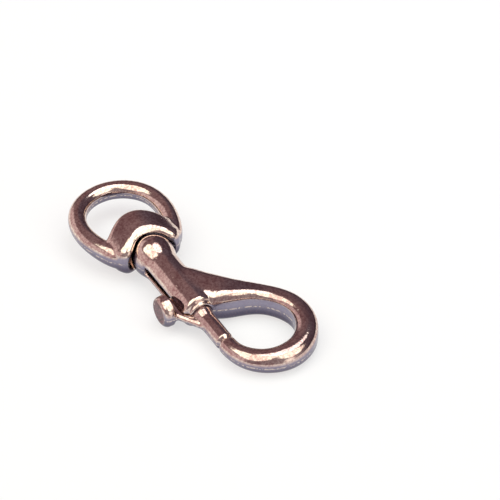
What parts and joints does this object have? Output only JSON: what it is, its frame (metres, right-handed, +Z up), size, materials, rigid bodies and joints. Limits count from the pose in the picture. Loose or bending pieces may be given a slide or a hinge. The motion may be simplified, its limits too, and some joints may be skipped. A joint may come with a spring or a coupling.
{
  "type": "swivel snap hook",
  "caption": "Cast bronze snap hook with a spring-loaded sliding gate bolt and an eye that swivels on the end of the hook's barrel.",
  "frame": {"origin": "middle of the snap's outline in plan, on the surface that it lies on", "axes": "+X along the barrel from the swivel eye to the bowl of the hook, +Y from the gate's knob to the hook's spine, +Z up from the surface it lies on"},
  "size_m": [0.0846, 0.0381, 0.0124],
  "materials": {
    "bronze": "polished cast bronze, lightly mottled by handling",
    "spring_wire": "plain drawn wire"
  },
  "bodies": {
    "hook": {"hook_body": "bronze", "swivel_rivet": "bronze", "bolt_spring": "spring_wire"},
    "gate": {"bolt": "bronze"},
    "eye": {"swivel_eye": "bronze"}
  },
  "joints": [
    {"name": "bolt_slide", "type": "slide", "parent": "hook", "child": "gate", "axis": [-1, 0, 0], "range_m": [0, 0.0124], "stiffness_N_per_m": 540, "springref_m": -0.005, "deforming": ["bolt_spring"]},
    {"name": "eye_swivel", "type": "hinge", "parent": "hook", "child": "eye", "pos_m": [-0.01887, -0.00475, 0.0062], "axis": [1, 0, 0], "continuous": true}
  ]
}
